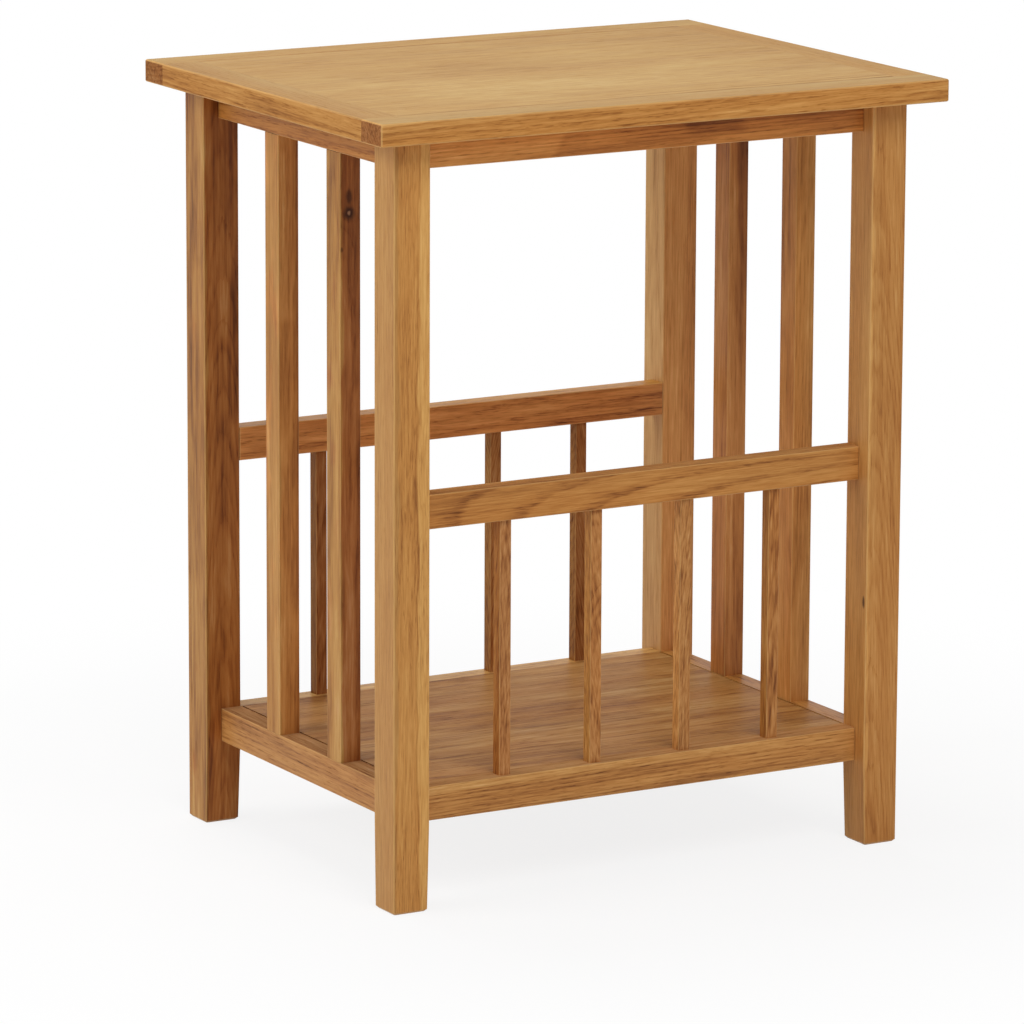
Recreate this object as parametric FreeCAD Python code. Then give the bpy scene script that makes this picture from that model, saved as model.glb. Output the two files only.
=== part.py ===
import FreeCAD, Part
import os

Vector = FreeCAD.Vector

# Oak side table with a magazine rack between its legs. Lengths are in millimetres.
# X runs along the width, Y from front to back and Z up. The origin is on the floor, under the centre.

# Overall size
table_width = 450.0
table_depth = 350.0
table_height = 550.0

# Table top
top_thickness = 16.0
edge_strip_width = 28.0

# Legs
leg_size = 28.0
leg_inset = 21.0
leg_taper = 1.5

# Rails and aprons between the legs
rail_thickness = 16.0
apron_height = 22.0
rail_height = 24.0
rack_rail_top = 288.0
shelf_top = 84.0
shelf_panel_thickness = 14.0

# Uprights between the rails
slat_width = 20.0
slats_per_side = 2
spindle_size = 9.0
spindles_per_row = 4

# Rounding of the edges
top_round = 1.5
leg_round = 1.2
rail_round = 0.8
spindle_round = 0.6
seam_round = 0.7
foot_chamfer = 1.5

# Joinery, as shares of the pieces that hold it
dowel_diameter_share = 0.33
dowel_depth_share = 0.54
dowel_spread_share = 0.3
tongue_thickness_share = 0.36
rail_groove_share = 0.3
strip_groove_share = 0.22
groove_stop_share = 0.36
upright_tenon_share = 0.5
tenon_thickness_share = 0.4
tenon_width_share = 0.65
spindle_pin_share = 0.66

# Wood screws that hold the top to the aprons
screw_diameter = 4.0
screw_head_share = 2.0
screw_counterbore_share = 0.3
screw_bite_share = 0.6
screw_place_shares = (-0.25, 0.25)

# Clearances
glue_gap = 0.05
end_gap = 0.5
shelf_side_gap = 1.5
cut_overrun = 1.0

# Planes that the pieces share
top_underside = table_height - top_thickness
leg_outer_x = table_width / 2 - leg_inset
leg_outer_y = table_depth / 2 - leg_inset
leg_inner_x = leg_outer_x - leg_size
leg_inner_y = leg_outer_y - leg_size
rail_outer_x = leg_inner_x + rail_thickness
rail_outer_y = leg_inner_y + rail_thickness
rail_middle_x = leg_inner_x + rail_thickness / 2
rail_middle_y = leg_inner_y + rail_thickness / 2
apron_bottom = top_underside - apron_height
shelf_rail_bottom = shelf_top - rail_height
rack_rail_bottom = rack_rail_top - rail_height
strip_inner_x = table_width / 2 - edge_strip_width
strip_inner_y = table_depth / 2 - edge_strip_width

# Sizes of the joinery
dowel_radius = dowel_diameter_share * min(rail_thickness, apron_height, rail_height) / 2
dowel_depth = dowel_depth_share * leg_size
upright_tenon = upright_tenon_share * min(shelf_panel_thickness, apron_height, rail_height)
shelf_tongue = rail_groove_share * rail_thickness
shelf_tongue_thickness = tongue_thickness_share * shelf_panel_thickness
top_tongue = strip_groove_share * edge_strip_width
top_tongue_thickness = tongue_thickness_share * top_thickness
groove_stop = groove_stop_share * edge_strip_width

sides = {"front": -1, "back": 1}
ends = {"left": -1, "right": 1}
pieces = {}


def box(x_range, y_range, z_range):
    """Box between two planes in each direction, given in any order."""
    low = Vector(min(x_range), min(y_range), min(z_range))
    high = Vector(max(x_range), max(y_range), max(z_range))
    size = high.sub(low)
    return Part.makeBox(size.x, size.y, size.z, low)


def round_edges(solid, radius, chosen):
    """Round the straight edges whose middle point is chosen."""
    edges = [edge for edge in solid.Edges if chosen(edge.CenterOfMass)]
    return solid.makeFillet(radius, edges)


def is_same(first, second):
    """True where two coordinates lie on one plane."""
    return abs(first - second) < glue_gap


def rounded_wire(x_range, y_range, z, radius):
    """Closed outline of a rectangle with round corners, at one height."""
    low_x, high_x = min(x_range), max(x_range)
    low_y, high_y = min(y_range), max(y_range)
    corners = [(low_x, low_y), (high_x, low_y), (high_x, high_y), (low_x, high_y)]
    edges = []
    for index, (x, y) in enumerate(corners):
        corner = Vector(x, y, z)
        before = Vector(*corners[index - 1], z)
        after = Vector(*corners[(index + 1) % len(corners)], z)
        following = Vector(*corners[(index + 2) % len(corners)], z)
        to_before = before.sub(corner).normalize()
        to_after = after.sub(corner).normalize()
        to_following = following.sub(after).normalize()
        start = corner + to_before * radius
        stop = corner + to_after * radius
        centre = corner + (to_before + to_after) * radius
        middle = centre - (to_before + to_after).normalize() * radius
        next_start = after - to_after * radius
        edges.append(Part.Arc(start, middle, stop).toShape())
        edges.append(Part.makeLine(stop, next_start))
    return Part.Wire(edges)


def cut_from(name, tool):
    """Take a tool's shape out of one piece."""
    pieces[name] = pieces[name].cut(tool)


def join_to(name, extra):
    """Make an extra shape one solid with a piece."""
    pieces[name] = pieces[name].fuse(extra).removeSplitter()


def cylinder(radius, start, direction, length):
    """Round bar from a point along a direction."""
    return Part.makeCylinder(radius, length, start, direction)


# Table top: full-length strips at the front and back, short strips between them, and a panel inside
top_span = (top_underside, table_height)
top_middle = (top_underside + table_height) / 2
tongue_span = (top_middle - top_tongue_thickness / 2, top_middle + top_tongue_thickness / 2)
groove_span = (tongue_span[0] - glue_gap, tongue_span[1] + glue_gap)
groove_depth = top_tongue + end_gap
groove_half_length = table_width / 2 - groove_stop


def make_long_strip(side, sign):
    """Edge strip along the front or back, with a stopped groove in its inner face."""
    outer = sign * table_depth / 2
    inner = sign * strip_inner_y
    half = table_width / 2
    strip = box((-half, half), (outer, inner), top_span)

    def is_outside(point):
        on_end = is_same(abs(point.x), half)
        on_front = is_same(point.y, outer)
        on_inner = is_same(point.y, inner)
        return (on_front or on_end) and not on_inner

    strip = round_edges(strip, top_round, is_outside)
    bottom = inner + sign * groove_depth
    mouth = inner - sign * cut_overrun
    groove = box((-groove_half_length, groove_half_length), (mouth, bottom), groove_span)
    pieces[f"top_strip_{side}"] = strip.cut(groove)


def make_short_strip(end, sign):
    """Edge strip at the left or right, grooved along its inner face, with a tongue at both ends."""
    outer = sign * table_width / 2
    inner = sign * strip_inner_x
    half = strip_inner_y
    strip = box((outer, inner), (-half, half), top_span)
    strip = round_edges(strip, top_round, lambda point: is_same(point.x, outer) and is_same(point.y, 0))
    bottom = inner + sign * groove_depth
    mouth = inner - sign * cut_overrun
    groove = box((mouth, bottom), (-half - cut_overrun, half + cut_overrun), groove_span)
    strip = strip.cut(groove)
    tongue_reach = half + top_tongue
    tongue_outer = sign * (groove_half_length - glue_gap)
    tongue = box((bottom, tongue_outer), (-tongue_reach, tongue_reach), tongue_span)
    pieces[f"top_strip_{end}"] = strip.fuse(tongue).removeSplitter()


def make_top_panel():
    """Centre panel flush with the strips, with tongues all round and a fine seam at front and back."""
    panel = box((-strip_inner_x, strip_inner_x), (-strip_inner_y, strip_inner_y), top_span)

    def is_seam(point):
        return is_same(point.z, table_height) and is_same(abs(point.y), strip_inner_y)

    panel = round_edges(panel, seam_round, is_seam)
    reach_x = strip_inner_x + top_tongue
    reach_y = strip_inner_y + top_tongue
    along_x = box((-reach_x, reach_x), (-strip_inner_y, strip_inner_y), tongue_span)
    along_y = box((-strip_inner_x, strip_inner_x), (-reach_y, reach_y), tongue_span)
    pieces["top_panel"] = panel.fuse([along_x, along_y]).removeSplitter()


def make_leg(side, side_sign, end, end_sign):
    """Square leg with round edges, two inner faces tapered below the shelf rails, and a chamfered foot."""
    foot_taper = leg_taper * (1 - foot_chamfer / shelf_rail_bottom)
    levels = (
        (0, leg_taper, foot_chamfer),
        (foot_chamfer, foot_taper, 0),
        (shelf_rail_bottom, 0, 0),
        (top_underside, 0, 0),
    )
    outlines = []
    for z, taper, chamfer in levels:
        x_range = (end_sign * (leg_outer_x - chamfer), end_sign * (leg_inner_x + taper + chamfer))
        y_range = (side_sign * (leg_outer_y - chamfer), side_sign * (leg_inner_y + taper + chamfer))
        outlines.append(rounded_wire(x_range, y_range, z, leg_round))
    solid_body = True
    flat_sides = True
    pieces[f"leg_{side}_{end}"] = Part.makeLoft(outlines, solid_body, flat_sides)


def make_long_rail(name, sign, bottom, height, rounds_inside):
    """Rail along the width, between two legs, with round edges all round its outer face."""
    outer = sign * rail_outer_y
    inner = sign * leg_inner_y
    rail = box((-leg_inner_x, leg_inner_x), (inner, outer), (bottom, bottom + height))

    def is_shown(point):
        return is_same(point.y, outer) or (rounds_inside and is_same(point.y, inner))

    pieces[name] = round_edges(rail, rail_round, is_shown)


def make_short_rail(name, sign, bottom, height):
    """Rail from front to back, between two legs, with round edges all round its outer face."""
    outer = sign * rail_outer_x
    inner = sign * leg_inner_x
    rail = box((inner, outer), (-leg_inner_y, leg_inner_y), (bottom, bottom + height))
    pieces[name] = round_edges(rail, rail_round, lambda point: is_same(point.x, outer))


def even_places(clear_length, count, width):
    """Middles of equal pieces that leave equal gaps over a clear length."""
    gap = (clear_length - count * width) / (count + 1)
    first = -clear_length / 2 + gap + width / 2
    return [first + index * (gap + width) for index in range(count)]


def make_upright(name, x_range, y_range, z_range, radius):
    """Straight upright with round long edges."""
    upright = box(x_range, y_range, z_range)
    middle_z = sum(z_range) / 2
    pieces[name] = round_edges(upright, radius, lambda point: is_same(point.z, middle_z))


def make_slat(end, sign, number, middle_y):
    """Side slat with a stub tenon in the apron above and in the shelf rail below."""
    name = f"slat_{end}_{number}"
    y_range = (middle_y - slat_width / 2, middle_y + slat_width / 2)
    x_range = (sign * leg_inner_x, sign * rail_outer_x)
    make_upright(name, x_range, y_range, (shelf_top, apron_bottom), rail_round)
    half_x = tenon_thickness_share * rail_thickness / 2
    half_y = tenon_width_share * slat_width / 2
    middle_x = sign * rail_middle_x
    tenon_z = (shelf_top - upright_tenon, apron_bottom + upright_tenon)
    tenon = box((middle_x - half_x, middle_x + half_x), (middle_y - half_y, middle_y + half_y), tenon_z)
    join_to(name, tenon)
    wide_x = half_x + glue_gap
    wide_y = half_y + glue_gap
    socket_z = (tenon_z[0] - end_gap, tenon_z[1] + end_gap)
    socket = box((middle_x - wide_x, middle_x + wide_x), (middle_y - wide_y, middle_y + wide_y), socket_z)
    cut_from(f"shelf_rail_{end}", socket)
    cut_from(f"apron_{end}", socket)


def make_spindle(side, sign, number, middle_x):
    """Thin square spindle with a round pin in the rack rail above and in the shelf rail below."""
    name = f"spindle_{side}_{number}"
    half = spindle_size / 2
    middle_y = sign * rail_middle_y
    x_range = (middle_x - half, middle_x + half)
    y_range = (middle_y - half, middle_y + half)
    make_upright(name, x_range, y_range, (shelf_top, rack_rail_bottom), spindle_round)
    radius = spindle_pin_share * half
    up = Vector(0, 0, 1)
    pin_length = rack_rail_bottom - shelf_top + 2 * upright_tenon
    pin = cylinder(radius, Vector(middle_x, middle_y, shelf_top - upright_tenon), up, pin_length)
    join_to(name, pin)
    socket_start = Vector(middle_x, middle_y, shelf_top - upright_tenon - end_gap)
    socket = cylinder(radius + glue_gap, socket_start, up, pin_length + 2 * end_gap)
    cut_from(f"shelf_rail_{side}", socket)
    cut_from(f"rack_rail_{side}", socket)


def make_shelf_panel():
    """Shelf panel, flush with the shelf rails, with tongues in their grooves."""
    half_x = leg_inner_x - shelf_side_gap
    half_y = leg_inner_y - glue_gap
    bottom = shelf_top - shelf_panel_thickness
    panel = box((-half_x, half_x), (-half_y, half_y), (bottom, shelf_top))
    tongue_top = bottom + shelf_tongue_thickness
    tongue_z = (bottom, tongue_top)
    reach_x = leg_inner_x + shelf_tongue
    reach_y = leg_inner_y + shelf_tongue
    along_x = box((-reach_x, reach_x), (-half_y, half_y), tongue_z)
    along_y = box((-half_x, half_x), (-reach_y, reach_y), tongue_z)
    pieces["shelf_panel"] = panel.fuse([along_x, along_y]).removeSplitter()
    groove_z = (bottom, tongue_top + glue_gap)
    deep_x = reach_x + end_gap
    deep_y = reach_y + end_gap
    groove_x = box((-deep_x, deep_x), (-leg_inner_y, leg_inner_y), groove_z)
    groove_y = box((-leg_inner_x, leg_inner_x), (-deep_y, deep_y), groove_z)
    for end in ends:
        cut_from(f"shelf_rail_{end}", groove_x)
    for side in sides:
        cut_from(f"shelf_rail_{side}", groove_y)


def dowel_into_leg(rail_name, leg_name, face_point, direction):
    """One dowel half in a rail and half in a leg, with its hole cut in both."""
    start = face_point - direction * dowel_depth
    hole_start = start - direction * end_gap
    hole_length = 2 * (dowel_depth + end_gap)
    hole = cylinder(dowel_radius + glue_gap, hole_start, direction, hole_length)
    cut_from(rail_name, hole)
    cut_from(leg_name, hole)
    return cylinder(dowel_radius, start, direction, 2 * dowel_depth)


def long_rail_dowels(rail, bottom, height):
    """Two dowels, one above the other, at each end of the front and back rails of one kind."""
    spread = dowel_spread_share * height
    middle_z = bottom + height / 2
    dowels = []
    for side, side_sign in sides.items():
        for end, end_sign in ends.items():
            for z in (middle_z - spread, middle_z + spread):
                point = Vector(end_sign * leg_inner_x, side_sign * rail_middle_y, z)
                direction = Vector(end_sign, 0, 0)
                dowels.append(dowel_into_leg(f"{rail}_{side}", f"leg_{side}_{end}", point, direction))
    return dowels


def short_rail_dowels(rail, bottom, height):
    """One dowel at each end of the left and right rails of one kind, between the other two in the leg."""
    middle_z = bottom + height / 2
    dowels = []
    for side, side_sign in sides.items():
        for end, end_sign in ends.items():
            point = Vector(end_sign * rail_middle_x, side_sign * leg_inner_y, middle_z)
            direction = Vector(0, side_sign, 0)
            dowels.append(dowel_into_leg(f"{rail}_{end}", f"leg_{side}_{end}", point, direction))
    return dowels


def top_screw(x, y, apron_name):
    """Countersunk wood screw up through an apron into the top, with its counterbore and hole."""
    up = Vector(0, 0, 1)
    shank_radius = screw_diameter / 2
    head_radius = shank_radius * screw_head_share
    head_z = apron_bottom + screw_counterbore_share * apron_height
    tip_z = top_underside + screw_bite_share * top_thickness
    cone_height = head_radius - shank_radius
    cone = Part.makeCone(head_radius, shank_radius, cone_height, Vector(x, y, head_z), up)
    shank = cylinder(shank_radius, Vector(x, y, head_z), up, tip_z - head_z)
    screw = cone.fuse(shank).removeSplitter()
    bore_start = Vector(x, y, apron_bottom - cut_overrun)
    bore = cylinder(head_radius + glue_gap, bore_start, up, head_z - bore_start.z)
    for name in (apron_name, "top_panel"):
        cut_from(name, screw)
    cut_from(apron_name, bore)
    return screw


# Top and frame
make_top_panel()
for side, sign in sides.items():
    make_long_strip(side, sign)
    make_long_rail(f"apron_{side}", sign, apron_bottom, apron_height, False)
    make_long_rail(f"rack_rail_{side}", sign, rack_rail_bottom, rail_height, True)
    make_long_rail(f"shelf_rail_{side}", sign, shelf_rail_bottom, rail_height, False)
for end, sign in ends.items():
    make_short_strip(end, sign)
    make_short_rail(f"apron_{end}", sign, apron_bottom, apron_height)
    make_short_rail(f"shelf_rail_{end}", sign, shelf_rail_bottom, rail_height)
for side, side_sign in sides.items():
    for end, end_sign in ends.items():
        make_leg(side, side_sign, end, end_sign)
make_shelf_panel()

# Slats and spindles, numbered from the front and from the left
for end, sign in ends.items():
    for number, middle_y in enumerate(even_places(2 * leg_inner_y, slats_per_side, slat_width), 1):
        make_slat(end, sign, number, middle_y)
for side, sign in sides.items():
    for number, middle_x in enumerate(even_places(2 * leg_inner_x, spindles_per_row, spindle_size), 1):
        make_spindle(side, sign, number, middle_x)

# Fasteners
dowels = long_rail_dowels("apron", apron_bottom, apron_height)
dowels += long_rail_dowels("rack_rail", rack_rail_bottom, rail_height)
dowels += long_rail_dowels("shelf_rail", shelf_rail_bottom, rail_height)
dowels += short_rail_dowels("apron", apron_bottom, apron_height)
dowels += short_rail_dowels("shelf_rail", shelf_rail_bottom, rail_height)
pieces["rail_dowels"] = Part.makeCompound(dowels)

screws = []
for side, sign in sides.items():
    for share in screw_place_shares:
        screws.append(top_screw(share * table_width, sign * rail_middle_y, f"apron_{side}"))
for end, sign in ends.items():
    screws.append(top_screw(sign * rail_middle_x, 0, f"apron_{end}"))
pieces["top_screws"] = Part.makeCompound(screws)

os.makedirs("parts", exist_ok=True)
for name, shape in pieces.items():
    shape.exportStep(f"parts/{name}.step")
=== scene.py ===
import math
import random

import bpy
from mathutils import Matrix, Vector


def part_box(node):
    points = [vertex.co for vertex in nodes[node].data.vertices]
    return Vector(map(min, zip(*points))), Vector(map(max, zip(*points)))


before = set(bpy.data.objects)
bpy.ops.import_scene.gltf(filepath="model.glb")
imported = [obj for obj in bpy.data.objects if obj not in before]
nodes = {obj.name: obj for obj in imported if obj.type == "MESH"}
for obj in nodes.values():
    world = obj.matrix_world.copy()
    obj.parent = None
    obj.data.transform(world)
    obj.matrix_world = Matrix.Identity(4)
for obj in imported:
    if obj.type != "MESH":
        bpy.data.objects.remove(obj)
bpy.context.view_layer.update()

scene = bpy.context.scene
scene.view_settings.view_transform = "Standard"


# Node trees

class Tree:
    """Short ways to add and link the nodes of one material or world."""

    def __init__(self, owner):
        owner.use_nodes = True
        self.nodes = owner.node_tree.nodes
        self.links = owner.node_tree.links
        self.nodes.clear()

    def add(self, kind, **settings):
        node = self.nodes.new(kind)
        for key, value in settings.items():
            setattr(node, key, value)
        return node

    def plug(self, socket, value):
        if isinstance(value, bpy.types.NodeSocket):
            self.links.new(value, socket)
        else:
            socket.default_value = value

    def math(self, operation, *values):
        node = self.add("ShaderNodeMath", operation=operation)
        for socket, value in zip(node.inputs, values):
            self.plug(socket, value)
        return node.outputs[0]

    def sum(self, *values):
        total = values[0]
        for value in values[1:]:
            total = self.math("ADD", total, value)
        return total

    def times(self, first, second):
        return self.math("MULTIPLY", first, second)

    def smooth(self, value, low, high, low_result, high_result):
        """Smooth step from one result to another between two values."""
        node = self.add("ShaderNodeMapRange", interpolation_type="SMOOTHSTEP")
        for socket, item in zip(node.inputs, (value, low, high, low_result, high_result)):
            self.plug(socket, item)
        return node.outputs[0]

    def split(self, vector):
        node = self.add("ShaderNodeSeparateXYZ")
        self.plug(node.inputs[0], vector)
        return node.outputs

    def join(self, *parts):
        node = self.add("ShaderNodeCombineXYZ")
        for socket, part in zip(node.inputs, parts):
            self.plug(socket, part)
        return node.outputs[0]

    def dot(self, vector, direction):
        node = self.add("ShaderNodeVectorMath", operation="DOT_PRODUCT")
        self.plug(node.inputs[0], vector)
        node.inputs[1].default_value = direction
        return node.outputs["Value"]

    def scaled(self, vector, scale):
        node = self.add("ShaderNodeVectorMath", operation="MULTIPLY")
        self.plug(node.inputs[0], vector)
        node.inputs[1].default_value = scale
        return node.outputs[0]

    def noise(self, vector, scale, detail=2.0, roughness=0.5, distortion=0.0):
        """Noise from about -0.5 to 0.5, with its own scale across and along the grain."""
        node = self.add("ShaderNodeTexNoise")
        self.plug(node.inputs["Vector"], self.scaled(vector, scale))
        node.inputs["Scale"].default_value = 1.0
        node.inputs["Detail"].default_value = detail
        node.inputs["Roughness"].default_value = roughness
        node.inputs["Distortion"].default_value = distortion
        return self.math("SUBTRACT", node.outputs["Fac"], 0.5)

    def mix(self, factor, first, second, blend="MIX"):
        node = self.add("ShaderNodeMix", data_type="RGBA", blend_type=blend)
        node.clamp_factor = True
        self.plug(node.inputs[0], factor)
        self.plug(node.inputs[6], first)
        self.plug(node.inputs[7], second)
        return node.outputs[2]

    def ramp(self, value, stops):
        node = self.add("ShaderNodeValToRGB")
        self.plug(node.inputs[0], value)
        elements = node.color_ramp.elements
        while len(elements) < len(stops):
            elements.new(0.5)
        for element, (place, colour) in zip(elements, stops):
            element.position = place
            element.color = (*colour, 1.0)
        return node.outputs[0]

    def tinted(self, colour, tint, factor):
        """The colour, multiplied by a tint as far as the factor says."""
        return self.mix(factor, colour, self.mix(1.0, colour, (*tint, 1.0), "MULTIPLY"))

    def toward(self, value, goal, factor):
        """The value, moved to a goal as far as the factor says."""
        return self.sum(value, self.times(factor, self.math("SUBTRACT", goal, value)))

    def turned(self, vector, shift, angles):
        """The vector after a turn about X and Y, and a shift."""
        node = self.add("ShaderNodeMapping")
        self.plug(node.inputs["Vector"], vector)
        node.inputs["Location"].default_value = shift
        node.inputs["Rotation"].default_value = (*angles, 0.0)
        return node.outputs[0]

    def filled(self, kind, values):
        """The first output of a node, with its values and links by the names of the sockets."""
        node = self.add(kind)
        for name, value in values.items():
            self.plug(node.inputs[name], value)
        return node.outputs[0]

    def blend(self, factor, first, second):
        node = self.add("ShaderNodeMixShader")
        for socket, item in zip(node.inputs, (factor, first, second)):
            self.plug(socket, item)
        return node.outputs[0]

    def finish(self, surface, kind="ShaderNodeOutputMaterial"):
        """Link a shader to the output of the material or world."""
        self.plug(self.add(kind).inputs["Surface"], surface)


# Oak

# Colours along the tone of the wood, from the darkest to the palest
oak_stops = [
    (0.0, (0.130, 0.042, 0.010)),
    (0.3, (0.325, 0.122, 0.028)),
    (0.55, (0.495, 0.212, 0.050)),
    (0.8, (0.605, 0.295, 0.080)),
    (1.0, (0.700, 0.395, 0.135)),
]
base_tone = 0.66
calm_tone = 0.62
# Tone toward which sapwood and painted side light pull the wood, and how far
sap_and_side_tone = 0.60
sap_and_side_pull = 0.2

plain = (1.0, 1.0, 1.0)
red_tint = (1.0, 0.86, 0.70)
end_tint = (0.58, 0.50, 0.58)
end_pore_colour = (0.14, 0.045, 0.014, 1.0)
knot_colour = (0.055, 0.016, 0.005, 1.0)
# Colour of the painted highlight in the centre of a knot
knot_highlight_colour = (0.42, 0.22, 0.12, 1.0)
# Colour of the painted highlight on rounded edges
edge_highlight_colour = (0.70, 0.43, 0.17, 1.0)

# Axes across, across and along the grain
grain_order = {"x": (1, 2, 0), "y": (0, 2, 1), "z": (0, 1, 2)}

# Noise of the wood: waves per metre across, across and along the grain, then detail, roughness and distortion
wood_noise = {
    "slow": ((8.0, 8.0, 2.6), 1.0),
    "quick": ((46.0, 46.0, 9.0), 2.0),
    "ripple": ((60.0, 60.0, 24.0), 2.0),
    "ragged": ((460.0, 460.0, 40.0), 2.0),
    "broad": ((34.0, 34.0, 1.5), 2.0),
    "middle": ((150.0, 150.0, 4.5), 2.0),
    "lines": ((420.0, 420.0, 9.0), 2.0),
    "cloud": ((13.0, 13.0, 5.0), 3.0),
    "patch": ((9.0, 9.0, 2.8), 4.0, 0.55, 0.6),
    "figure": ((75.0, 75.0, 12.0), 3.0, 0.55, 0.8),
    "fleck": ((420.0, 420.0, 60.0), 2.0),
    "fibre": ((900.0, 900.0, 40.0), 3.0, 0.6),
    "long_pore": ((640.0, 640.0, 58.0), 1.0),
    "short_pore": ((1250.0, 1250.0, 120.0), 1.0),
    "hue": ((26.0, 26.0, 2.4), 2.0),
}

# The same for noise along the axes of the table, and along the radius of the rings
knot_rim_noise = ((330.0, 330.0, 200.0), 2.0)
end_pore_noise = ((330.0, 330.0, 330.0), 2.0)
ring_width_noise = ((120.0, 1.0, 1.0), 1.0)

# How far the borders of bands, sapwood and painted side light sway, in metres
slow_sway = 0.005
ripple_sway = 0.008

# How much of a normal lies along an axis where a face begins to look that way, and where it does so in full
facing = (0.75, 0.95)

# Ranges of noise in which pores and redder wood come in
long_pore_range = (0.07, 0.22)
short_pore_range = (0.06, 0.22)
end_pore_range = (-0.05, 0.20)
hue_range = (-0.16, 0.16)

# Ranges of the distance from the centre of a knot, in its half sizes, in which its painted highlight and its colour
# end
knot_highlight_range = (0.10, 0.38)
knot_range = (0.40, 1.35)
knot_roughness = 0.6

# The largest part of a normal along any axis, from rounded to flat, and the strength of the painted highlight on
# rounded edges
edge_range = (0.90, 0.995)
edge_highlight_strength = 0.42

# The grain of a board leans more than its rings
lean_per_tilt = 2.0

# Weights of what makes up the rings, the pores and the tone
slow_bend, quick_bend = 2.0, 0.3
uneven_widths = 1.6
spread_of_years = 0.8
broad_streak, fine_streak = 1.2, 0.7
fibre_in_bands = 1.4
long_pore_by_ring = (1.1, 0.12)
short_pore_by_ring = (0.6, 0.4)
short_pore_depth = 0.7
end_pore_depth = 0.6

# Weights of what makes up the roughness and the bump
rough_pore, rough_streak, rough_end = 0.16, 0.12, 0.12
high_pore, high_ring, high_fibre = -0.9, -0.3, 0.5
bump_strength = 0.16
bump_depth = 0.0004


class Look:
    """How one piece was cut from its log, and the colour of its wood.

    sapwood_and_side_light: rows of a direction, the edge along it, its blur and a tint. Some rows are sapwood, and
    rows that take in a whole left face paint light and shade onto it.
    bands: rows of a change of tone and its windows, each a direction, a start, an end and their blur. A start or
    an end that is a metre or more away lies outside the table. Some bands are painted shade and light.
    knots: rows of a centre, half sizes, the lift of the rings, the depth of the colour and the strength of a painted
    highlight in the centre.
    """

    def __init__(self, grain, pith, tilt, ring_width, tint):
        self.grain = grain
        self.pith = pith
        self.tilt = tilt
        self.lean = tuple(angle * lean_per_tilt for angle in tilt)
        self.ring_width = ring_width
        self.tint = tint
        self.ring_contrast = 0.22
        self.ring_fade = 0.62
        self.uneven = 1.0
        self.ragged = 0.5
        self.wander = 0.005
        self.streak = 0.50
        self.cloud = 0.12
        self.patch = 0.0
        self.fleck = 0.0
        self.figure = 0.30
        self.fibre = 0.75
        self.pores = 0.36
        self.redness = 0.5
        self.top_light_tint = plain
        self.left_light_tint = plain
        self.specular = 0.16
        self.roughness = 0.42
        self.top_roughness = 0.0
        self.top_calm = 0.0
        self.sapwood_and_side_light = ()
        self.bands = ()
        self.knots = ()


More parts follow.
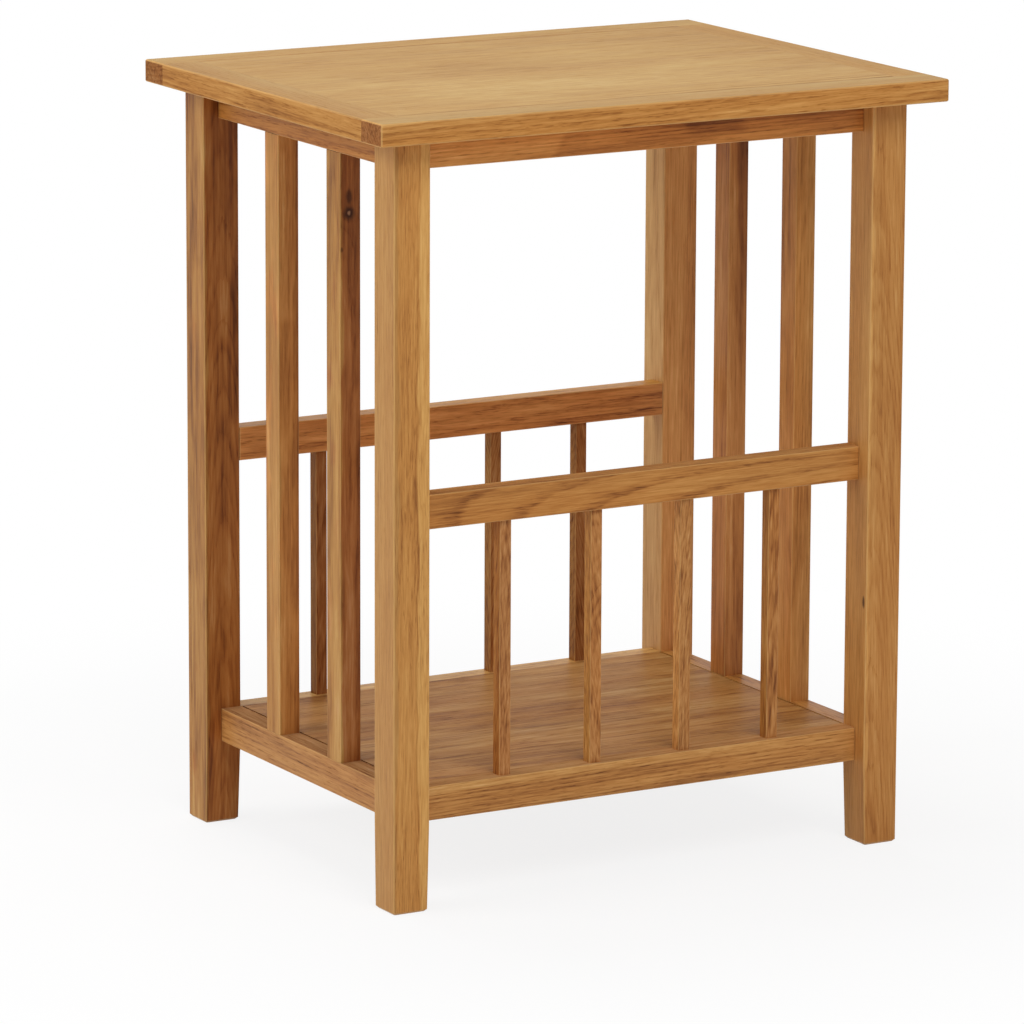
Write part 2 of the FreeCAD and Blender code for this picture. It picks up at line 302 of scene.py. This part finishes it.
def oak(name, look):
    """Lacquered oak as a solid texture: growth rings around a pith, pores, streaks and end grain."""
    material = bpy.data.materials.new(name)
    tree = Tree(material)
    coordinates = tree.add("ShaderNodeTexCoord")
    place = coordinates.outputs["Object"]
    parts = tree.split(place)
    axes = tree.join(*(parts[index] for index in grain_order[look.grain]))
    log = tree.turned(axes, look.pith, look.tilt)
    board = tree.turned(axes, look.pith, look.lean)
    normals = tree.split(coordinates.outputs["Normal"])
    upward = tree.smooth(normals[2], *facing, 0.0, 1.0)

    def wood(kind):
        return tree.noise(board, *wood_noise[kind])

    # Growth rings of uneven width, bent by slow noise along the trunk and by knots
    log_x, log_y = tree.split(log)[:2]
    radius = tree.math("SQRT", tree.sum(tree.times(log_x, log_x), tree.times(log_y, log_y)))
    slow = wood("slow")
    bend = tree.sum(
        tree.times(slow, look.wander * slow_bend), tree.times(wood("quick"), look.wander * quick_bend),
    )
    knot_shades = []
    for centre, size, lift, depth, knot_highlight in look.knots:
        offsets = [
            tree.times(tree.math("SUBTRACT", parts[index], centre[index]), 1.0 / size[index])
            for index in range(3)
        ]
        distance = tree.math("SQRT", tree.sum(*(tree.times(offset, offset) for offset in offsets)))
        distance = tree.sum(distance, tree.times(tree.noise(place, *knot_rim_noise), knot_roughness))
        swirl = tree.math("DIVIDE", lift, tree.math("ADD", 1.0, tree.times(distance, distance)))
        bend = tree.sum(bend, swirl)
        dark = tree.smooth(distance, *knot_range, depth, 0.0)
        # A painted highlight in the centre of the knot
        pale = tree.smooth(distance, *knot_highlight_range, knot_highlight, 0.0)
        knot_shades.append((dark, pale))
    bent_radius = tree.sum(radius, bend)
    uneven = tree.noise(tree.join(bent_radius, 0.0, 0.0), *ring_width_noise)
    rings = tree.sum(
        tree.math("DIVIDE", bent_radius, look.ring_width),
        tree.times(uneven, uneven_widths * look.uneven),
        tree.times(wood("ragged"), look.ragged),
    )
    phase = tree.math("FRACT", rings)
    early = tree.math(
        "MAXIMUM",
        tree.smooth(phase, 0.0, look.ring_fade, 1.0, 0.0),
        tree.smooth(phase, 1.0 - look.ring_fade / 3, 1.0, 0.0, 1.0),
    )
    years = tree.add("ShaderNodeTexWhiteNoise", noise_dimensions="1D")
    tree.plug(years.inputs["W"], tree.math("FLOOR", rings))
    spread = spread_of_years * look.uneven
    strength = tree.math("MULTIPLY_ADD", years.outputs["Value"], spread, 1.0 - spread)
    ring_dark = tree.times(early, strength)

    # Streaks, fibres and pores, all drawn out along the grain
    middle = wood("middle")
    fibre = wood("fibre")
    long_pore = tree.smooth(wood("long_pore"), *long_pore_range, 0.0, 1.0)
    short_pore = tree.smooth(wood("short_pore"), *short_pore_range, 0.0, short_pore_depth)
    pore = tree.math(
        "MAXIMUM",
        tree.times(long_pore, tree.math("MULTIPLY_ADD", ring_dark, *long_pore_by_ring)),
        tree.times(short_pore, tree.math("MULTIPLY_ADD", early, *short_pore_by_ring)),
    )
    tone_parts = [
        base_tone,
        tree.times(ring_dark, -look.ring_contrast),
        tree.times(wood("broad"), look.streak * broad_streak),
        tree.times(middle, look.streak),
        tree.times(wood("lines"), look.streak * fine_streak),
        tree.times(wood("cloud"), look.cloud),
        tree.times(wood("figure"), look.figure),
        tree.times(fibre, look.fibre),
        tree.times(pore, -look.pores),
    ]

    # Bands, some of them painted shade and light, then sapwood and painted side light, with borders that sway with
    # the grain
    sway = tree.sum(tree.times(slow, slow_sway), tree.times(wood("ripple"), ripple_sway))

    def along(direction):
        return tree.sum(tree.dot(place, direction), sway)

    broken = tree.math("MULTIPLY_ADD", fibre, fibre_in_bands, 1.0)
    for change, windows in look.bands:
        band = tree.times(broken, change)
        for direction, start, end, blur in windows:
            distance = along(direction)
            band = tree.times(band, tree.smooth(distance, start - blur, start + blur, 0.0, 1.0))
            band = tree.times(band, tree.smooth(distance, end - blur, end + blur, 1.0, 0.0))
        tone_parts.append(band)
    if look.patch:
        tone_parts.append(tree.times(wood("patch"), look.patch))
    if look.fleck:
        tone_parts.append(tree.times(wood("fleck"), look.fleck))
    tone = tree.sum(*tone_parts)
    if look.top_calm:
        tone = tree.toward(tone, calm_tone, tree.times(upward, look.top_calm))
    saps_and_sides = []
    for direction, edge, blur, tint in look.sapwood_and_side_light:
        sap_and_side = tree.smooth(along(direction), edge - blur, edge + blur, 0.0, 1.0)
        tone = tree.toward(tone, sap_and_side_tone, tree.times(sap_and_side, sap_and_side_pull))
        saps_and_sides.append((sap_and_side, tint))

    # Colour by tone, redder in places, then sapwood and painted side light, and knots with their painted highlights
    colour = tree.ramp(tone, [
        (stop, tuple(part * tint for part, tint in zip(stop_colour, look.tint)))
        for stop, stop_colour in oak_stops
    ])
    colour = tree.tinted(colour, red_tint, tree.smooth(wood("hue"), *hue_range, 0.0, look.redness))
    for sap_and_side, tint in saps_and_sides:
        colour = tree.tinted(colour, tint, sap_and_side)
    for dark, pale in knot_shades:
        colour = tree.mix(dark, colour, knot_colour)
        colour = tree.mix(pale, colour, knot_highlight_colour)

    # End grain drinks more lacquer; upper and left faces get tints of their own, which are painted light, shade and
    # sheen; and rounded edges get a pale line, which is a painted highlight
    lengthwise = tree.math("ABSOLUTE", normals["xyz".index(look.grain)])
    end_face = tree.smooth(lengthwise, *facing, 0.0, 1.0)
    end_pores = tree.smooth(tree.noise(place, *end_pore_noise), *end_pore_range, 0.0, end_pore_depth)
    end_colour = tree.mix(end_pores, tree.tinted(colour, end_tint, 1.0), end_pore_colour)
    colour = tree.mix(end_face, colour, end_colour)
    if look.top_light_tint != plain:
        colour = tree.tinted(colour, look.top_light_tint, upward)
    if look.left_light_tint != plain:
        leftward = tree.smooth(tree.times(normals[0], -1.0), *facing, 0.0, 1.0)
        colour = tree.tinted(colour, look.left_light_tint, leftward)
    flattest = tree.math("ABSOLUTE", normals[0])
    for normal in normals[1:3]:
        flattest = tree.math("MAXIMUM", flattest, tree.math("ABSOLUTE", normal))
    painted_edge_highlight = tree.smooth(flattest, *edge_range, edge_highlight_strength, 0.0)
    colour = tree.mix(painted_edge_highlight, colour, edge_highlight_colour)

    gloss = tree.sum(
        look.roughness,
        tree.times(pore, rough_pore), tree.times(middle, rough_streak), tree.times(end_face, rough_end),
        tree.times(upward, look.top_roughness),
    )
    height = tree.sum(
        tree.times(pore, high_pore), tree.times(ring_dark, high_ring), tree.times(fibre, high_fibre),
    )
    bump = tree.filled("ShaderNodeBump", {"Strength": bump_strength, "Distance": bump_depth, "Height": height})
    tree.finish(tree.filled("ShaderNodeBsdfPrincipled", {
        "Base Color": colour, "Roughness": gloss, "Specular IOR Level": look.specular, "Normal": bump,
    }))
    return material


def dress(node_name, material):
    """Give one CAD node a material in place of its plain one."""
    mesh = nodes[node_name].data
    mesh.materials.clear()
    mesh.materials.append(material)


# Colour of each piece, as a tint of the same oak
tints = {
    "top_panel": (0.89, 1.16, 1.59),
    "top_strip_front": (1.10, 1.18, 1.35),
    "top_strip_back": (1.07, 1.18, 1.33),
    "top_strip_left": (0.97, 1.08, 1.26),
    "top_strip_right": (1.02, 0.98, 0.75),
    "leg_front_left": (1.105, 1.175, 1.265),
    "leg_front_right": (0.93, 0.92, 0.98),
    "leg_back_left": (0.72, 0.58, 0.54),
    "leg_back_right": (1.28, 1.243, 1.44),
    "apron_front": (1.36, 1.32, 1.39),
    "apron_back": (1.10, 1.04, 0.99),
    "apron_left": (0.95, 0.91, 0.82),
    "apron_right": (1.05, 1.02, 1.00),
    "rack_rail_front": (0.99, 0.995, 1.04),
    "rack_rail_back": (1.22, 1.11, 1.25),
    "shelf_rail_front": (1.06, 1.145, 1.365),
    "shelf_rail_back": (1.26, 1.39, 1.58),
    "shelf_rail_left": (0.92, 0.96, 1.13),
    "shelf_rail_right": (1.05, 1.08, 1.10),
    "shelf_panel": (0.83, 0.94, 1.19),
    "slat_left_1": (0.76, 0.65, 0.76),
    "slat_left_2": (1.04, 1.00, 1.09),
    "slat_right_1": (1.13, 1.17, 1.33),
    "slat_right_2": (1.01, 0.93, 1.07),
    "spindle_front_1": (0.87, 0.855, 1.14),
    "spindle_front_2": (0.93, 0.91, 1.13),
    "spindle_front_3": (0.92, 0.97, 1.29),
    "spindle_front_4": (0.92, 0.90, 1.08),
    # The back spindles are darker partly as painted shade
    "spindle_back_1": (0.65, 0.57, 0.72),
    "spindle_back_2": (0.67, 0.59, 0.72),
    "spindle_back_3": (0.73, 0.67, 0.82),
    "spindle_back_4": (0.67, 0.60, 0.74),
}

# Every piece is cut from a log of its own, with the grain along its longest side
hidden_pieces = ("rail_dowels", "top_screws")
oak_pieces = [name for name in sorted(nodes) if name not in hidden_pieces]
pith_reach = (0.05, 0.12)
most_shift = 3.0
most_tilt = 0.015
ring_widths = (0.0022, 0.0036)
chance = random.Random(11)
looks = {}
for name in oak_pieces:
    low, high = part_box(name)
    sizes = high - low
    grain = "xyz"[max(range(3), key=lambda axis: sizes[axis])]
    turn = chance.uniform(0.0, 2.0 * math.pi)
    reach = chance.uniform(*pith_reach)
    middle = (low + high) / 2
    centre = [middle[index] for index in grain_order[grain]]
    pith = (
        reach * math.cos(turn) - centre[0],
        reach * math.sin(turn) - centre[1],
        chance.uniform(-most_shift, most_shift),
    )
    tilt = (chance.uniform(-most_tilt, most_tilt), chance.uniform(-most_tilt, most_tilt))
    ring_width = chance.uniform(*ring_widths)
    looks[name] = Look(grain, pith, tilt, ring_width, tints[name])

# How strongly the grain shows, and how much gloss there is
spindle_tilt = 16.0
spindle_lean = 4.0
for name in oak_pieces:
    look = looks[name]
    kind = name.split("_")[0]
    if kind == "spindle":
        look.streak, look.figure, look.ring_contrast, look.pores = 0.34, 0.50, 0.24, 0.16
        look.fibre, look.fleck = 1.1, 0.9
        look.specular, look.roughness = 0.12, 0.45
        look.tilt = tuple(angle * spindle_tilt for angle in look.tilt)
        look.lean = tuple(angle * spindle_lean for angle in look.lean)
        look.ring_width = 0.0018
    elif kind == "slat":
        look.streak, look.figure, look.ring_contrast, look.pores = 0.55, 0.60, 0.12, 0.14
        look.specular = 0.14
    elif kind == "leg":
        look.streak, look.figure, look.ring_contrast, look.pores = 0.42, 0.45, 0.12, 0.14
    elif kind in ("rack", "shelf", "apron"):
        look.streak, look.top_roughness = 0.62, 0.45
for name in ("rack_rail_back", "shelf_rail_back", "shelf_rail_right"):
    looks[name].top_roughness = 0.0
looks["top_strip_left"].streak = 0.7

# Tints of upper faces and of left faces, on top of the tint of the piece: painted light, shade and sheen of those
# faces
top_light_tints = {
    "rack_rail_front": (0.99, 1.08, 1.28),
    "rack_rail_back": (0.89, 1.06, 0.75),
    "shelf_rail_front": (0.83, 0.86, 1.05),
    "shelf_rail_back": (0.90, 1.09, 1.30),
    "shelf_rail_left": (0.86, 0.92, 1.20),
}
left_light_tints = {
    "leg_back_right": (0.88, 1.10, 1.33),
    "slat_right_2": (1.01, 1.05, 1.06),
    "spindle_front_1": (0.94, 0.85, 0.58),
    "spindle_front_2": (1.12, 1.20, 1.00),
    "spindle_front_3": (1.32, 1.38, 1.30),
    "spindle_front_4": (0.94, 0.96, 0.77),
}
# Back spindles: less gloss, and a darker, less blue left face, which is painted shade
for number in range(1, 5):
    name = f"spindle_back_{number}"
    looks[name].specular = 0.06
    left_light_tints[name] = (0.88, 0.92, 0.69)
for name, tint in top_light_tints.items():
    looks[name].top_light_tint = tint
for name, tint in left_light_tints.items():
    looks[name].left_light_tint = tint

# Directions of bands and sapwood
to_right, to_left = (1.0, 0.0, 0.0), (-1.0, 0.0, 0.0)
to_front, to_back = (0.0, -1.0, 0.0), (0.0, 1.0, 0.0)
to_top = (0.0, 0.0, 1.0)

# Top: soft patches in the panel, dark lines along its seams, a paler front centre that is painted sheen, a darker
# back that is painted shade, and strips with upper faces of a similar colour, which is painted sheen
look = looks["top_panel"]
look.ring_contrast, look.pores, look.streak, look.cloud, look.redness = 0.06, 0.10, 0.15, 0.35, 0.15
look.figure, look.patch = 0.12, 0.5
# The panel's pale, bluish tint under a low specular is partly its wood and partly the lacquer's sheen, painted into
# its colour
look.specular, look.roughness = 0.05, 0.5
look.bands = (
    (-0.34, ((to_front, 0.1445, 1.0, 0.0012),)),
    (-0.20, ((to_front, 0.1355, 0.1385, 0.0010), (to_right, -0.02, 1.0, 0.05))),
    (-0.16, ((to_back, 0.1440, 1.0, 0.0015),)),
    # Painted sheen: paler towards the front centre
    (0.10, ((to_front, -0.02, 1.0, 0.06), (to_right, -0.12, 0.15, 0.08))),
    # Painted shade: darker towards the back
    (-0.05, ((to_back, 0.04, 1.0, 0.06),)),
    (-0.08, ((to_back, 0.0, 1.0, 0.06), (to_right, 0.15, 1.0, 0.05))),
)
panel_tint = look.tint
strip_shades = {
    "front": (0.98, 1.06, 1.18), "back": (1.03, 1.10, 1.18),
    "left": (0.91, 0.91, 0.93), "right": (0.97, 0.95, 0.89),
}
# The strips' upper faces get calmer grain and a tint toward the panel's colour, which is painted sheen
for name, shade in strip_shades.items():
    look = looks[f"top_strip_{name}"]
    look.specular, look.roughness, look.top_calm = 0.05, 0.5, 0.55
    look.top_light_tint = tuple(part * panel / own for part, panel, own in zip(shade, panel_tint, look.tint))

# Shelf: strong figure along its length, darker in front as painted shade, and paler at the back right as painted
# light
look = looks["shelf_panel"]
look.ring_contrast, look.pores, look.streak, look.cloud = 0.24, 0.30, 0.42, 0.30
# The shelf's paler, bluer tint under a low specular is partly its wood and partly the lacquer's sheen, painted into
# its colour
look.specular, look.roughness, look.top_roughness = 0.04, 0.44, 0.0
look.figure, look.lean = 1.05, (0.0, 0.03)
look.bands = (
    # Painted shade at the front
    (-0.09, ((to_front, 0.075, 1.0, 0.045),)),
    # Painted light at the back right
    (0.07, ((to_right, 0.06, 1.0, 0.08), (to_back, 0.0, 1.0, 0.08))),
)

# Near leg: straight grain on its side, soft figure in front, sapwood along its right edge, and a cooler tint over its
# left face and corner, which is painted light
look = looks["leg_front_left"]
look.ring_contrast, look.streak, look.pores, look.redness = 0.12, 0.30, 0.24, 0.3
look.figure, look.fibre = 0.18, 0.85
look.pith = (0.19, -0.02, 0.4)
look.tilt = (0.006, 0.0)
look.sapwood_and_side_light = (
    (to_right, -0.1842, 0.0010, (1.14, 1.28, 1.42)),
    (to_left, 0.2010, 0.0012, (0.86, 0.92, 1.03)),
)
look.bands = ((-0.14, ((to_right, -0.1858, -0.1842, 0.0006),)),)

# Front right leg: arched figure in front, a small dark check near its corner, and a paler tint over its inner left
# face, which is painted light
look = looks["leg_front_right"]
look.pith = (-0.182, 0.134, 0.0)
look.tilt = (0.05, 0.0)
look.ring_width = 0.0013
look.ring_contrast = 0.20
look.ragged = 0.8
look.pores = 0.16
look.wander = 0.006
look.sapwood_and_side_light = ((to_left, -0.1785, 0.0010, (1.28, 1.44, 1.60)),)
look.knots = (((0.176, -0.1505, 0.177), (0.0016, 0.0016, 0.0045), 0.0, 0.85, 0.0),)

# Back right leg: an even hue
look = looks["leg_back_right"]
look.redness = 0.0

# Back left leg: the pith of the log, with soft arches on its front, a paler tint over its left face, which is painted
# light, and painted shade over its upper part
look = looks["leg_back_left"]
look.pith = (0.189, -0.136, 0.0)
look.tilt = (0.05, 0.0)
look.ring_width = 0.0016
look.ring_contrast = 0.20
look.wander = 0.004
look.streak, look.cloud, look.figure = 0.9, 0.8, 1.3
look.sapwood_and_side_light = ((to_left, 0.2020, 0.0010, (1.12, 1.48, 1.68)),)
look.bands = (
    (-0.24, ((to_right, -0.1830, 1.0, 0.005),)),
    # Painted shade over the upper part of the leg, under the top
    (-0.16, ((to_top, 0.450, 1.0, 0.050), (to_right, -0.200, 1.0, 0.002))),
)

# Front rack rail: arched rings that run out along its length
look = looks["rack_rail_front"]
look.pith = (-0.19015, -0.24259, 0.7)
look.tilt = (-0.1535, 0.02857)
look.ring_width = 0.0015
look.ring_contrast = 0.20
look.ring_fade = 0.36
look.ragged = 0.2
look.uneven = 0.0
look.wander = 0.0005
look.streak = 0.45
look.fibre = 0.85
look.pores = 0.26

# Front apron: paler on the left, then darker, with a dark spot along its upper edge
look = looks["apron_front"]
look.bands = (
    (-0.19, (((1.0, 0.0, -0.48), -0.320, 10.0, 0.003),)),
    (-0.22, ((to_right, 0.033, 0.078, 0.008), (to_top, 0.520, 1.0, 0.004))),
)
look.pores = 0.28

# Back slats: the left one changes its figure half way up and has a darker tint over its left face, which is painted
# shade, and the right one has a dark edge
look = looks["slat_left_2"]
look.figure = 0.8
look.sapwood_and_side_light = ((to_left, 0.1908, 0.0008, (0.85, 0.94, 0.95)),)
look.bands = (
    (-0.05, ((to_top, -1.0, 0.379, 0.003),)),
    (0.16, ((to_right, -0.1912, -0.1860, 0.0010), (to_top, 0.379, 0.50, 0.004))),
    (-0.20, ((to_right, -0.1810, 1.0, 0.003),)),
)
look = looks["slat_right_2"]
look.figure, look.streak = 0.8, 0.75
look.bands = (
    (-0.24, ((to_right, 0.1840, 1.0, 0.005),)),
    (-0.22, ((to_top, 0.375, 1.0, 0.040), (to_right, 0.1835, 1.0, 0.003))),
    (-0.30, ((to_top, 0.456, 1.0, 0.020), (to_right, 0.1772, 1.0, 0.003))),
)

# Near left slat: redder in front than on its left face, whose paler tint is painted light, with a knot high on its
# front that holds a painted highlight, and a smaller one above it
look = looks["slat_left_1"]
look.sapwood_and_side_light = ((to_left, 0.1900, 0.0010, (1.16, 1.55, 1.50)),)
look.knots = (
    ((-0.1853, -0.0553, 0.470), (0.0046, 0.005, 0.0052), 0.006, 0.97, 0.9),
    ((-0.1850, -0.0553, 0.4815), (0.0026, 0.004, 0.0058), 0.003, 0.80, 0.0),
    ((-0.1905, -0.0553, 0.445), (0.0012, 0.003, 0.0018), 0.001, 0.60, 0.0),
)
look.figure = 1.4
look.bands = ((-0.24, ((to_right, -0.1810, 1.0, 0.003),)),)

for name in oak_pieces:
    dress(name, oak(f"oak_{name}", looks[name]))


# Beech dowels and zinc-plated screws, hidden inside the joints

beech_stops = [(0.0, (0.40, 0.22, 0.11)), (0.5, (0.58, 0.38, 0.21)), (1.0, (0.68, 0.48, 0.29))]
zinc_stops = [(0.0, (0.42, 0.43, 0.45)), (1.0, (0.72, 0.73, 0.75))]


def beech():
    """Pale wood with fine flecks."""
    material = bpy.data.materials.new("beech_dowels")
    tree = Tree(material)
    place = tree.add("ShaderNodeTexCoord").outputs["Object"]
    fibre = tree.noise(place, (420.0, 420.0, 420.0), 3.0)
    fleck = tree.smooth(tree.noise(place, (900.0, 900.0, 900.0), 1.0), 0.1, 0.2, 0.0, 1.0)
    tone = tree.sum(0.6, tree.times(fibre, 0.5), tree.times(fleck, -0.3))
    tree.finish(tree.filled("ShaderNodeBsdfPrincipled", {
        "Base Color": tree.ramp(tone, beech_stops),
        "Roughness": tree.sum(0.62, tree.times(fibre, 0.2)),
    }))
    return material


def zinc():
    """Plated steel with a cloudy, brushed surface."""
    material = bpy.data.materials.new("zinc_screws")
    tree = Tree(material)
    place = tree.add("ShaderNodeTexCoord").outputs["Object"]
    cloud = tree.noise(place, (260.0, 260.0, 260.0), 3.0)
    brushed = tree.noise(place, (300.0, 300.0, 4000.0), 2.0)
    tone = tree.sum(0.5, tree.times(cloud, 0.5), tree.times(brushed, 0.3))
    tree.finish(tree.filled("ShaderNodeBsdfPrincipled", {
        "Base Color": tree.ramp(tone, zinc_stops),
        "Metallic": 1.0,
        "Roughness": tree.sum(0.36, tree.times(cloud, 0.2), tree.times(brushed, 0.2)),
    }))
    return material


dress("rail_dowels", beech())
dress("top_screws", zinc())


# Camera, at the place fitted to the photograph

camera_place = Vector((-2.235, -3.867, 1.189))
camera_azimuth = math.radians(-30.19)
camera_elevation = math.radians(11.36)
camera_roll = math.radians(0.32)
image_size = 1024
focal_pixels = 6422.0
image_centre = (560.0, 430.0)
sensor_width = 36.0
farthest = 100.0

backward = Vector((
    math.sin(camera_azimuth) * math.cos(camera_elevation),
    -math.cos(camera_azimuth) * math.cos(camera_elevation),
    math.sin(camera_elevation),
))
level = Vector((0.0, 0.0, 1.0)).cross(backward).normalized()
upward = backward.cross(level)
right = math.cos(camera_roll) * level + math.sin(camera_roll) * upward
up = math.cos(camera_roll) * upward - math.sin(camera_roll) * level
camera_data = bpy.data.cameras.new("camera")
camera = bpy.data.objects.new("camera", camera_data)
camera_data.sensor_width = sensor_width
camera_data.lens = focal_pixels / image_size * sensor_width
camera_data.shift_x = (image_size / 2 - image_centre[0]) / image_size
camera_data.shift_y = (image_centre[1] - image_size / 2) / image_size
camera_data.clip_end = farthest
rotation = Matrix((right, up, backward)).transposed()
camera.matrix_world = Matrix.Translation(camera_place) @ rotation.to_4x4()
scene.collection.objects.link(camera)
scene.camera = camera


# Studio: pale floor, white surround and three large soft lamps

lamp_target = Vector((0.0, 0.0, 0.27))
lamp_distance = 3.0


def area_lamp(name, azimuth, elevation, size, power):
    """Square lamp that faces the table, by its direction from it in degrees."""
    turn, rise = math.radians(azimuth), math.radians(elevation)
    aim = Vector((math.sin(turn) * math.cos(rise), -math.cos(turn) * math.cos(rise), math.sin(rise)))
    data = bpy.data.lights.new(name, "AREA")
    data.shape = "SQUARE"
    data.size = size
    data.energy = power
    lamp = bpy.data.objects.new(name, data)
    lamp.location = lamp_target + aim * lamp_distance
    lamp.rotation_euler = aim.to_track_quat("Z", "Y").to_euler()
    scene.collection.objects.link(lamp)


area_lamp("overhead", azimuth=180.0, elevation=70.0, size=1.4, power=28.4)
area_lamp("left", azimuth=-100.0, elevation=30.0, size=1.8, power=36.0)
area_lamp("front", azimuth=-7.0, elevation=47.0, size=1.5, power=34.5)

white = (1.0, 1.0, 1.0, 1.0)
ambient_strength = 0.3
floor_reach = 8.0
floor_colour = (0.9, 0.9, 0.9, 1.0)
shadow_reach = (0.25, 0.8)
whiteness_near_table = 0.84


def seen_in_picture(tree):
    """One for rays that show a surface in the picture, and zero for rays that light the table."""
    rays = tree.add("ShaderNodeLightPath").outputs
    seen = tree.math("MAXIMUM", rays["Is Camera Ray"], rays["Is Glossy Ray"])
    return tree.math("MAXIMUM", seen, rays["Is Transmission Ray"])


world = scene.world or bpy.data.worlds.new("surround")
scene.world = world
tree = Tree(world)
ambient = tree.filled("ShaderNodeBackground", {"Color": white, "Strength": ambient_strength})
backdrop = tree.filled("ShaderNodeBackground", {"Color": white, "Strength": 1.0})
tree.finish(tree.blend(seen_in_picture(tree), ambient, backdrop), "ShaderNodeOutputWorld")

# The floor glows white in the picture, and less so under the table, where a pale shadow shows
corners = [(-floor_reach, -floor_reach), (floor_reach, -floor_reach)]
corners += [(floor_reach, floor_reach), (-floor_reach, floor_reach)]
floor_mesh = bpy.data.meshes.new("floor")
floor_mesh.from_pydata([(x, y, 0.0) for x, y in corners], [], [(0, 1, 2, 3)])
floor = bpy.data.objects.new("floor", floor_mesh)
scene.collection.objects.link(floor)
floor_material = bpy.data.materials.new("floor")
tree = Tree(floor_material)
spread = tree.add("ShaderNodeVectorMath", operation="LENGTH")
tree.plug(spread.inputs[0], tree.add("ShaderNodeTexCoord").outputs["Object"])
whiteness = tree.smooth(spread.outputs["Value"], *shadow_reach, whiteness_near_table, 1.0)
matt = tree.filled("ShaderNodeBsdfDiffuse", {"Color": floor_colour})
glow = tree.filled("ShaderNodeEmission", {"Color": white, "Strength": 1.0})
tree.finish(tree.blend(tree.times(whiteness, seen_in_picture(tree)), matt, glow))
floor_mesh.materials.append(floor_material)
